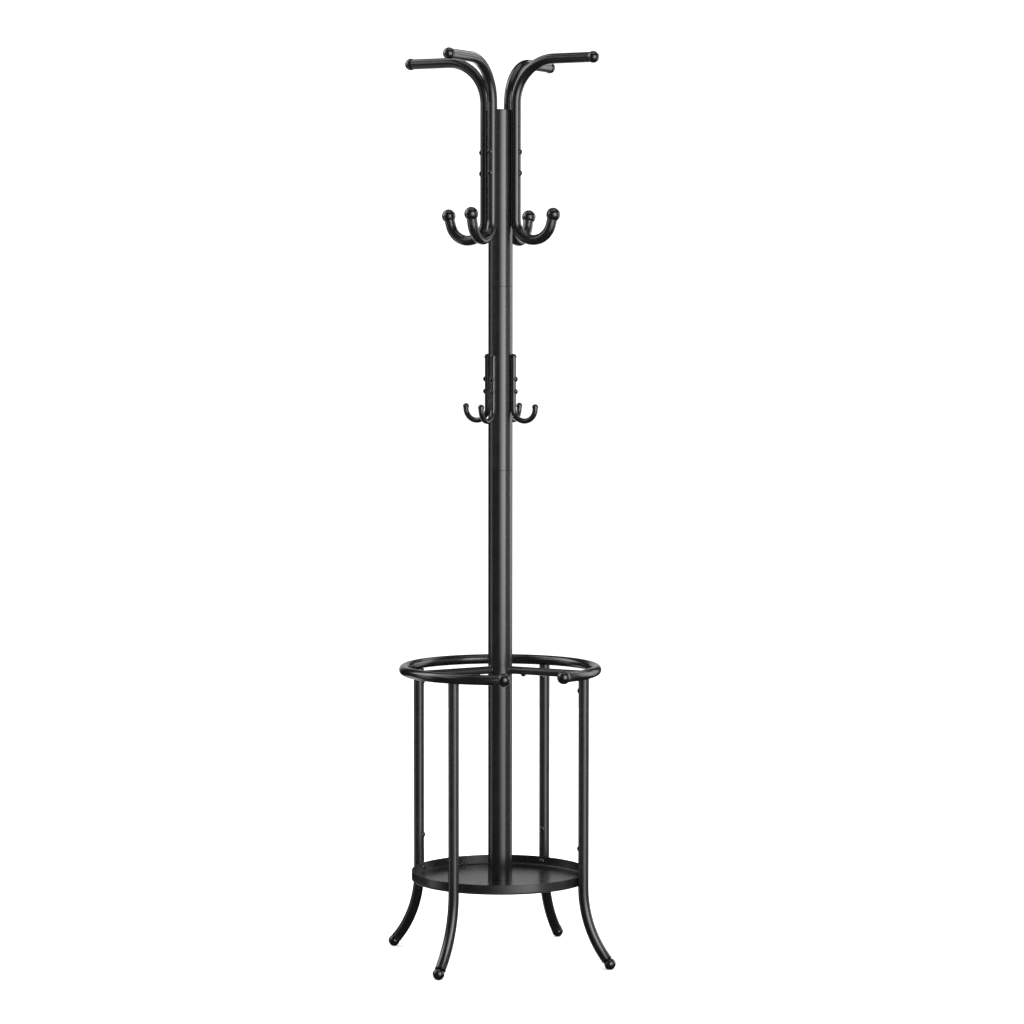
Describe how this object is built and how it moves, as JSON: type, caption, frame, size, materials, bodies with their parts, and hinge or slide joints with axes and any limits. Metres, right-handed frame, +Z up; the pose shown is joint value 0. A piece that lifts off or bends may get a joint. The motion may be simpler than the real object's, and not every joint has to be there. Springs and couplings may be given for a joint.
{
  "type": "standing coat rack",
  "caption": "Free-standing steel coat rack: a jointed round pole with bent hooks and small hooks, and an umbrella stand with an open ring, a drip tray and splayed legs.",
  "frame": {"origin": "on the floor, on the pole axis, at the centre between the feet", "axes": "+Z is up along the pole; the hooks and the legs point along +X (right), +Y (back), -X (left) and -Y (front); the open part of the ring lies between the front and the right leg"},
  "size_m": [0.5124, 0.5124, 1.781],
  "materials": {
    "black_powder_coat": "semi-gloss black powder coat on steel tube and sheet",
    "black_plastic": "glossy moulded black plastic",
    "black_screw": "blackened steel, slightly worn",
    "zinc_steel": "plain zinc-plated steel"
  },
  "bodies": {
    "root": {"pole_bottom_tube": "black_powder_coat", "pole_lower_tube": "black_powder_coat", "pole_middle_tube": "black_powder_coat", "pole_top_tube": "black_powder_coat", "pole_joiner_low": "zinc_steel", "pole_joiner_mid": "zinc_steel", "pole_joiner_high": "zinc_steel", "pole_top_cap": "black_plastic", "pole_base_plug": "zinc_steel", "base_bolt": "black_screw", "base_washer": "zinc_steel", "upper_hook_front": "black_powder_coat", "upper_hook_right": "black_powder_coat", "upper_hook_back": "black_powder_coat", "upper_hook_left": "black_powder_coat", "arm_ball_front": "black_plastic", "arm_ball_right": "black_plastic", "arm_ball_back": "black_plastic", "arm_ball_left": "black_plastic", "hook_ball_front": "black_plastic", "hook_ball_right": "black_plastic", "hook_ball_back": "black_plastic", "hook_ball_left": "black_plastic", "upper_hook_bolts": "black_screw", "upper_hook_nuts": "zinc_steel", "small_hook_front": "black_powder_coat", "small_hook_right": "black_powder_coat", "small_hook_back": "black_powder_coat", "small_hook_left": "black_powder_coat", "small_hook_top_caps": "black_plastic", "small_hook_tip_caps": "black_plastic", "small_hook_bolts": "black_screw", "small_hook_nuts": "zinc_steel", "umbrella_ring": "black_powder_coat", "ring_ball_left": "black_plastic", "ring_ball_right": "black_plastic", "spoke_right": "black_powder_coat", "spoke_back_left": "black_powder_coat", "spoke_front_left": "black_powder_coat", "spoke_brackets": "black_powder_coat", "spoke_bolts": "black_screw", "ring_leg_stubs": "black_powder_coat", "leg_top_bolts": "black_screw", "leg_spigots": "zinc_steel", "leg_joint_bolts": "black_screw", "upper_leg_front": "black_powder_coat", "upper_leg_right": "black_powder_coat", "upper_leg_back": "black_powder_coat", "upper_leg_left": "black_powder_coat", "lower_leg_front": "black_powder_coat", "lower_leg_right": "black_powder_coat", "lower_leg_back": "black_powder_coat", "lower_leg_left": "black_powder_coat", "foot_front": "black_plastic", "foot_right": "black_plastic", "foot_back": "black_plastic", "foot_left": "black_plastic", "tray": "black_powder_coat", "tray_bolts": "black_screw", "tray_nuts": "zinc_steel"}
  },
  "joints": []
}
